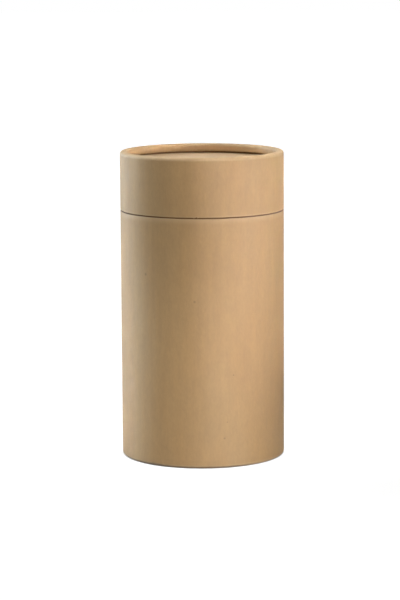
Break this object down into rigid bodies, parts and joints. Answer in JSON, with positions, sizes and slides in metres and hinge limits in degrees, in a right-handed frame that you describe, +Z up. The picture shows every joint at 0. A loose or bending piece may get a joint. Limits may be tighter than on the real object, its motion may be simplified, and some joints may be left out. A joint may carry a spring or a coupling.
{
  "type": "round cardboard box",
  "caption": "Upright round kraft cardboard tube box with rolled edges, recessed end discs and a slip-on lid that lifts off an inner neck.",
  "frame": {"origin": "centre of the foot, in the plane that the box stands on", "axes": "+Z up along the tube's axis; +X to the right and +Y away from the viewer, as in the picture"},
  "size_m": [0.083, 0.083, 0.1555],
  "materials": {
    "tube_wrap": "matte",
    "disc_board": "matte",
    "neck_board": "matte"
  },
  "bodies": {
    "box_body": {"body_tube": "tube_wrap", "base_disc": "disc_board", "neck_tube": "neck_board"},
    "lid": {"lid_tube": "tube_wrap", "lid_disc": "disc_board"}
  },
  "joints": [
    {"name": "lid_lift", "type": "slide", "parent": "box_body", "child": "lid", "axis": [0, 0, 1], "range_m": [0, 0.06]}
  ]
}
